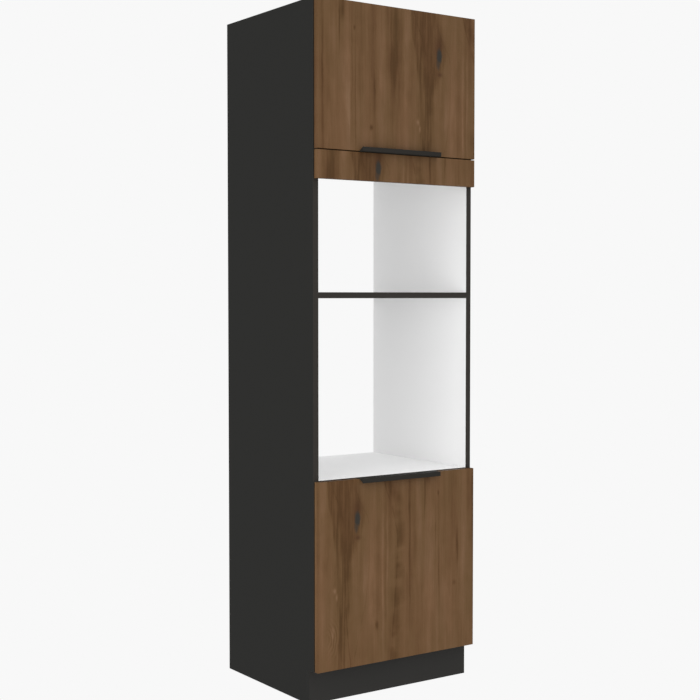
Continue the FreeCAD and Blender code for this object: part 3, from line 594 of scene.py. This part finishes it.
def edge_strip(name, colour):
    """A thin plastic edge strip with fine scraper marks along it."""
    material, tree, shader, (x, y, z) = new_material(name)
    marks = noise(tree, vector(tree, x * 400.0, y * 400.0, z * 6.0), detail=2.0)
    across_marks = noise(tree, vector(tree, x * 6.0, y * 400.0, z * 400.0), detail=2.0)
    tint = shades(tree, marks * 0.5 + across_marks * 0.5, colour, 0.08)
    finish_material(tree, shader, tint, marks * 0.15 + 0.45,
                    bump(tree, marks, strength=0.1, distance=0.0001), specular=0.25)
    return material


def powder_coat(name, colour):
    """Matt black coat with a fine orange-peel surface."""
    material, tree, shader, (x, y, z) = new_material(name)
    place = vector(tree, x, y, z)
    peel = noise(tree, place, scale=700.0, detail=1.0)
    speck = noise(tree, place, scale=3000.0, detail=1.0)
    tint = shades(tree, peel * 0.5 + speck * 0.5, colour, 0.08)
    finish_material(tree, shader, tint, speck * 0.1 + 0.62,
                    bump(tree, peel + speck * 0.3, strength=0.25, distance=0.00012),
                    specular=0.03)
    return material


def metal(name, colour, roughness, spangle=0.0, cast=0.0):
    """Plated metal with fine drawn lines, crystal spangle or a cast grain."""
    material, tree, shader, (x, y, z) = new_material(name)
    place = vector(tree, x, y, z)
    drawn = noise(tree, vector(tree, x * 500.0, y * 500.0, z * 5000.0), detail=2.0)
    soft = noise(tree, place, scale=120.0, detail=2.0)
    cells = tree.nodes.new("ShaderNodeTexVoronoi")
    feed(tree, cells.inputs["Vector"], place)
    cells.inputs["Scale"].default_value = 260.0
    split = tree.nodes.new("ShaderNodeSeparateColor")
    tree.links.new(cells.outputs["Color"], split.inputs[0])
    crystal = Field(tree, split.outputs[0]) - 0.5
    grain = noise(tree, place, scale=1500.0, detail=3.0) - 0.5
    shade = soft * 0.6 + drawn * 0.4 + crystal * spangle + grain * cast
    tint = shades(tree, shade, colour, 0.09)
    rough = drawn * 0.08 + crystal * spangle * 0.2 + grain * cast * 0.3 + roughness
    height = drawn + grain * cast * 3.0
    finish_material(tree, shader, tint, rough, bump(tree, height, strength=0.1, distance=0.00005),
                    metallic=1.0)
    return material


def hardboard(name, colour):
    """Lacquered fibreboard: a smooth coat over a faint fibre felt."""
    material, tree, shader, (x, y, z) = new_material(name)
    place = vector(tree, x, y, z)
    fibre = noise(tree, place, scale=420.0, detail=4.0, roughness=0.65)
    tint = shades(tree, fibre, colour, 0.025)
    finish_material(tree, shader, tint, fibre * 0.15 + 0.38,
                    bump(tree, fibre, strength=0.15, distance=0.00015), specular=0.2)
    return material


def beech(name):
    """Pale wood with its grain and short dark rays along X."""
    material, tree, shader, (x, y, z) = new_material(name)
    grain = noise(tree, vector(tree, x * 30.0, y * 700.0, z * 700.0), detail=3.0)
    rays = noise(tree, vector(tree, x * 300.0, y * 2200.0, z * 2200.0), detail=1.0).ease(0.62, 0.70)
    tint = ramp(tree, grain - rays * 0.25, [(0.15, srgb(150, 108, 70)), (0.4, srgb(196, 158, 112)),
                                            (0.7, srgb(214, 180, 136))])
    finish_material(tree, shader, tint, grain * 0.2 + 0.5,
                    bump(tree, grain, strength=0.2, distance=0.0001), specular=0.2)
    return material


materials = {
    "side_board": side_board(),
    "white_board": white_board(),
    "plinth_board": plinth_board(),
    "dark_edging": edge_strip("dark_edging", srgb(52, 48, 44)),
    "walnut": walnut("walnut_board", True),
    "walnut_edging": walnut("walnut_edging", False),
    "white_hardboard": hardboard("white_hardboard", srgb(232, 232, 230)),
    "black_metal": powder_coat("black_coat", srgb(48, 46, 43)),
    "nickel_steel": metal("nickel_steel", srgb(205, 202, 196), 0.24),
    "zinc_steel": metal("zinc_steel", srgb(184, 188, 194), 0.32, spangle=0.35),
    "zinc_casting": metal("zinc_casting", srgb(166, 168, 172), 0.45, cast=0.8),
    "beech": beech("beech"),
    "grey_plastic": moulded("grey_plastic", srgb(168, 168, 168), 0.45),
    "black_plastic": moulded("black_plastic", srgb(38, 38, 38), 0.42),
    "clear_rubber": moulded("clear_rubber", srgb(225, 225, 222), 0.30),
}


slots = {part["node"]: part["material_slot"] for part in frame["record"]["subparts"]}
bodies = {node: body for body, nodes in frame["record"]["behaviour"]["bodies"].items()
          for node in nodes}


def dress_nodes():
    for name, node in frame["nodes"].items():
        node.data.materials.clear()
        node.data.materials.append(materials[slots[name]])


# Pieces with finer geometry than the solids they stand for

def node_parts(name):
    """The corners of each separate solid of a node, as lists of vectors."""
    bm = bmesh.new()
    bm.from_mesh(frame["nodes"][name].data)
    bmesh.ops.remove_doubles(bm, verts=bm.verts, dist=same_point)
    parts, seen = [], set()
    for first in bm.verts:
        if first in seen:
            continue
        seen.add(first)
        part, waiting = [], [first]
        while waiting:
            corner = waiting.pop()
            part.append(corner.co.copy())
            for edge in corner.link_edges:
                other = edge.other_vert(corner)
                if other not in seen:
                    seen.add(other)
                    waiting.append(other)
        parts.append(part)
    bm.free()
    return parts


def part_box(part):
    low = Vector([min(corner[axis] for corner in part) for axis in range(3)])
    high = Vector([max(corner[axis] for corner in part) for axis in range(3)])
    return low, high


def ring(bm, radius, z, count):
    """A ring of corners about the Z axis. The radius and z may depend on the angle."""
    corners = []
    for step in range(count):
        angle = math.tau * step / count
        r = radius(angle) if callable(radius) else radius
        h = z(angle) if callable(z) else z
        corners.append(bm.verts.new((r * math.cos(angle), r * math.sin(angle), h)))
    return corners


def join_rings(bm, lower, upper):
    count = len(lower)
    for step in range(count):
        after = (step + 1) % count
        bm.faces.new((lower[step], lower[after], upper[after], upper[step]))


def turned(bm, profile, count, close_start=True, close_end=True):
    """A body of rings from (radius, z) pairs, from the top down. Returns its rings."""
    rings = [ring(bm, radius, z, count) for radius, z in profile]
    for above, below in zip(rings, rings[1:]):
        join_rings(bm, below, above)
    if close_start:
        bm.faces.new(rings[0])
    if close_end:
        bm.faces.new(reversed(rings[-1]))
    return rings


def cross_recess(bm, rim, reach, depth):
    """A flat ring inside the rim, with a cross-shaped recess that narrows downward."""
    half = reach * cross_arm
    outline = ((reach, -half), (reach, half), (half, half), (half, reach), (-half, reach),
               (-half, half), (-reach, half), (-reach, -half), (-half, -half), (-half, -reach),
               (half, -reach), (half, -half))
    z = rim[0].co.z
    upper = [bm.verts.new((x, y, z)) for x, y in outline]
    lower = [bm.verts.new((x * cross_taper, y * cross_taper, z - depth * cross_wall))
             for x, y in outline]
    tip = bm.verts.new((0, 0, z - depth))
    join_rings(bm, lower, upper)
    edges = []
    for loop in (rim, upper):
        for step, corner in enumerate(loop):
            after = loop[(step + 1) % len(loop)]
            edges.append(bm.edges.get((corner, after)) or bm.edges.new((corner, after)))
    bmesh.ops.triangle_fill(bm, use_beauty=True, use_dissolve=False, edges=edges)
    for step, corner in enumerate(lower):
        bm.faces.new((corner, lower[(step + 1) % len(lower)], tip))


def thread_profile(radius, depth, pitch, top, bottom, steps):
    """Rings of a right-hand thread that fades out at both ends."""
    rows = []
    count = max(2, round((top - bottom) / pitch * steps))
    for row in range(count + 1):
        z = top + (bottom - top) * row / count
        fade = min(1.0, (top - z) / pitch, (z - bottom) / pitch)

        def radius_at(angle, z=z, fade=fade):
            phase = (z / pitch - angle / math.tau) % 1.0
            crest = max(0.0, 1.0 - abs(phase - 0.5) * crest_slope)
            return radius - depth * (1.0 - crest * fade)
        rows.append((radius_at, z))
    return rows


def screw_shape(head_radius, radius, length):
    """A countersunk screw with a cross recess. The head is up and the tip points down."""
    bm = bmesh.new()
    core = radius * screw_core
    middle_radius, tip_left = tip_middle
    profile = [(head_radius - head_chamfer, 0.0), (head_radius, -head_chamfer),
               (radius, -screw_head)]
    profile += thread_profile(radius, radius - core, screw_pitch, -screw_head,
                              screw_tip - length, screw_thread_steps)
    profile += [(core * middle_radius, screw_tip * tip_left - length), (core * tip_point, -length)]
    rings = turned(bm, profile, screw_sides, close_start=False)
    cross_recess(bm, rings[0], head_radius * cross_reach, screw_head * cross_depth)
    return bm


def screw_place(part):
    """Where the screw's head is and how it is turned, read from the solid it stands for."""
    low, high = part_box(part)
    size = high - low
    axis = max(range(3), key=lambda index: size[index])
    middle = (low + high) / 2

    def off_axis(corner):
        away = corner - middle
        away[axis] = 0
        return away.length
    widest = max(off_axis(corner) for corner in part)
    rim = [corner[axis] for corner in part if off_axis(corner) > widest * rim_share]
    head_up = sum(rim) / len(rim) > middle[axis]
    head = middle.copy()
    head[axis] = high[axis] if head_up else low[axis]
    up = Vector([0.0, 0.0, 0.0])
    up[axis] = 1.0 if head_up else -1.0
    turn = up.to_track_quat("Z", "Y").to_matrix().to_4x4()
    spin = Matrix.Rotation(sum(head) * screw_spin, 4, "Z")
    return Matrix.Translation(head) @ turn @ spin, widest, size[axis]


def finish_piece(name, bm, node, stands_for=True):
    """The piece takes the node's body and finish and, where it stands for it, its place."""
    bmesh.ops.recalc_face_normals(bm, faces=bm.faces)
    for face in bm.faces:
        face.smooth = True
    for edge in bm.edges:
        if len(edge.link_faces) == 2:
            edge.smooth = edge.calc_face_angle() < crease_angle
    mesh = bpy.data.meshes.new(name)
    bm.to_mesh(mesh)
    bm.free()
    piece = bpy.data.objects.new(name, mesh)
    bpy.context.collection.objects.link(piece)
    mesh.materials.append(materials[slots[node]])
    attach(piece, bodies[node])
    if stands_for:
        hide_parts(node)


def copies(shape, places):
    """One shape at several places, in one mesh."""
    sample = bpy.data.meshes.new("sample")
    shape.to_mesh(sample)
    shape.free()
    bm = bmesh.new()
    for place in places:
        before = len(bm.verts)
        bm.from_mesh(sample)
        bm.verts.ensure_lookup_table()
        bmesh.ops.transform(bm, matrix=place, verts=bm.verts[before:])
    bpy.data.meshes.remove(sample)
    return bm


def build_screws(node):
    places = [screw_place(part) for part in node_parts(node)]
    _, head_radius, length = places[0]
    radius = euro_radius if head_radius > euro_head_limit else screw_radius
    shape = screw_shape(head_radius, radius, length)
    finish_piece(node + "_cross", copies(shape, [place for place, _, _ in places]), node)


def standing_places(parts):
    """Where each solid stands: the middle of its foot."""
    places = []
    for part in parts:
        low, high = part_box(part)
        places.append(Matrix.Translation(((low.x + high.x) / 2, (low.y + high.y) / 2, low.z)))
    return places


def hexagon(half):
    """The radius of a hexagon as a function of the angle. Half is half its width across flats."""
    return lambda angle: half / math.cos((angle + math.pi / 6) % (math.pi / 3) - math.pi / 6)


def build_feet():
    """A ribbed pad with a grooved rim, a hexagon hub and a threaded stud."""
    parts = node_parts("levelling_feet")
    low, high = part_box(parts[0])
    pad = (high.x - low.x) / 2
    bm = bmesh.new()

    def rim(inset):
        def radius(angle):
            groove = foot_groove_depth * (0.5 + 0.5 * math.cos(angle * foot_grooves))
            return pad - groove - inset
        return radius
    stud_inset, stud_drop = foot_stud_chamfer
    profile = [(foot_stud - stud_inset, high.z)]
    profile += thread_profile(foot_stud, foot_thread_depth, foot_thread_pitch,
                              high.z - stud_drop, foot_thread_end, foot_thread_steps)
    profile += [(hexagon(foot_hub), z) for z in foot_hub_ends]
    profile += [(pad * share, z) for share, z in foot_dish]
    profile += [(rim(inset), z) for inset, z in foot_rim]
    turned(bm, profile, foot_sides)
    for step in range(foot_ribs):
        rib = bmesh.ops.create_cube(bm, size=2.0)["verts"]
        for corner in rib:
            outer, upper = corner.co.x > 0, corner.co.z > 0
            corner.co.x = pad * foot_rib_reach if outer else foot_hub
            corner.co.y *= foot_rib_half
            corner.co.z = foot_rib_top[outer] if upper else foot_rib_foot
        turn = Matrix.Rotation(step * math.tau / foot_ribs, 3, "Z")
        bmesh.ops.rotate(bm, cent=(0, 0, 0), matrix=turn, verts=rib)
    finish_piece("levelling_feet_ribbed", copies(bm, standing_places(parts)), "levelling_feet")


def build_nuts():
    """Hexagon nuts with chamfered corners."""
    parts = node_parts("foot_lock_nuts")
    low, high = part_box(parts[0])
    half, height = (high.y - low.y) / 2, high.z - low.z
    outline = hexagon(half)
    face = half * nut_face
    bore = foot_stud + nut_clearance
    widening, drop = nut_bore_chamfer

    def chamfer(angle):
        return (outline(angle) - face) * nut_chamfer_slope
    profile = [
        (bore, height - drop), (bore + widening, height), (face, height),
        (outline, lambda angle: height - chamfer(angle)), (outline, chamfer),
        (face, 0.0), (bore + widening, 0.0), (bore, drop),
    ]
    bm = bmesh.new()
    rings = turned(bm, profile, nut_sides, close_start=False, close_end=False)
    join_rings(bm, rings[0], rings[-1])
    finish_piece("foot_lock_nuts_chamfered", copies(bm, standing_places(parts)), "foot_lock_nuts")


def build_softened(node, radius):
    """The node's own shape with its edges rounded, as pressed, folded or moulded parts have."""
    bm = bmesh.new()
    bm.from_mesh(frame["nodes"][node].data)
    bmesh.ops.remove_doubles(bm, verts=bm.verts, dist=same_point)
    bmesh.ops.dissolve_limit(bm, angle_limit=flat_angle, verts=bm.verts, edges=bm.edges)
    sharp = [edge for edge in bm.edges
             if len(edge.link_faces) == 2 and edge.calc_face_angle() > rounded_angle]
    bmesh.ops.bevel(bm, geom=sharp, offset=radius, segments=bevel_steps, profile=0.5,
                    affect="EDGES", clamp_overlap=True)
    bmesh.ops.triangulate(bm, faces=[face for face in bm.faces if len(face.verts) > 4])
    finish_piece(node + "_rounded", bm, node)


def build_pull_webs(node, grip):
    """Triangular webs that close the finger gap at both ends of a pull.

    The grip is 1 where the lip points up from the door's edge, and -1 where it points down.
    """
    low, high = part_box(node_parts(node)[0])
    edge = low.z + pull_wall if grip > 0 else high.z - pull_wall
    sunk = edge - grip * web_sink
    lip = low.y + pull_wall - web_sink
    tip = edge + grip * (pull_lip - pull_wall - web_inset)
    corners = ((door_front - web_inset, sunk), (lip, sunk), (lip, tip))
    bm = bmesh.new()
    for side in (-1, 1):
        outer, inner = side * (high.x - web_inset), side * (high.x - web_wall)
        outer_ring = [bm.verts.new((outer, y, z)) for y, z in corners]
        inner_ring = [bm.verts.new((inner, y, z)) for y, z in corners]
        join_rings(bm, outer_ring, inner_ring)
        bm.faces.new(outer_ring)
        bm.faces.new(inner_ring)
    bmesh.ops.bevel(bm, geom=bm.edges[:], offset=web_rounding, segments=bevel_steps, profile=0.5,
                    affect="EDGES")
    finish_piece(node + "_end_webs", bm, node, stands_for=False)


def build_details():
    for node in screw_nodes:
        build_screws(node)
    build_feet()
    build_nuts()
    for node, radius in rounded_nodes:
        build_softened(node, radius)
    build_pull_webs("upper_pull", 1)
    build_pull_webs("lower_pull", -1)


def studio_level(tree, lit):
    """What the camera sees, what gloss reflects and what lights the object are three levels."""
    path = tree.nodes.new("ShaderNodeLightPath")
    seen = Field(tree, path.outputs["Is Camera Ray"])
    glossy = Field(tree, path.outputs["Is Glossy Ray"])
    other = 1.0 - seen - glossy
    return seen * backdrop_level + glossy * gloss_level + other * lit


def build_world():
    world = bpy.data.worlds.new("studio")
    bpy.context.scene.world = world
    world.use_nodes = True
    tree = world.node_tree
    background = tree.nodes["Background"]
    background.inputs["Color"].default_value = (1.0, 1.0, 1.0, 1.0)
    place = tree.nodes.new("ShaderNodeTexCoord")
    split = tree.nodes.new("ShaderNodeSeparateXYZ")
    tree.links.new(place.outputs["Generated"], split.inputs[0])
    up = Field(tree, split.outputs["Z"]).max(0.0)
    feed(tree, background.inputs["Strength"], studio_level(tree, up * sky_gain + room_level))


def build_floor():
    half = floor_size / 2
    mesh = bpy.data.meshes.new("floor")
    corners = [(-half, -half, 0), (half, -half, 0), (half, half, 0), (-half, half, 0)]
    mesh.from_pydata(corners, [], [(0, 1, 2, 3)])
    floor = bpy.data.objects.new("floor", mesh)
    bpy.context.collection.objects.link(floor)
    material = bpy.data.materials.new("floor")
    material.use_nodes = True
    tree = material.node_tree
    shader = tree.nodes["Principled BSDF"]
    shader.inputs["Base Color"].default_value = (0.0, 0.0, 0.0, 1.0)
    shader.inputs["Specular IOR Level"].default_value = 0.0
    shader.inputs["Emission Color"].default_value = (1.0, 1.0, 1.0, 1.0)
    feed(tree, shader.inputs["Emission Strength"], studio_level(tree, floor_level))
    mesh.materials.append(material)


def build_soft_box():
    data = bpy.data.lights.new("soft_box_left", "AREA")
    data.size = soft_box_side
    data.energy = soft_box_power
    light = bpy.data.objects.new("soft_box_left", data)
    light.location = soft_box_place
    toward = Vector(soft_box_aim) - Vector(soft_box_place)
    light.rotation_euler = toward.to_track_quat("-Z", "Y").to_euler()
    bpy.context.collection.objects.link(light)


def build_camera():
    data = bpy.data.cameras.new("camera")
    data.lens = camera_lens
    data.sensor_width = camera_sensor
    camera = bpy.data.objects.new("camera", data)
    camera.location = camera_place
    camera.rotation_euler = (camera_pitch, camera_roll, camera_turn)
    bpy.context.collection.objects.link(camera)
    bpy.context.scene.camera = camera


dress_nodes()
build_details()
build_world()
build_floor()
build_soft_box()
build_camera()
bpy.context.scene.view_settings.view_transform = "Standard"
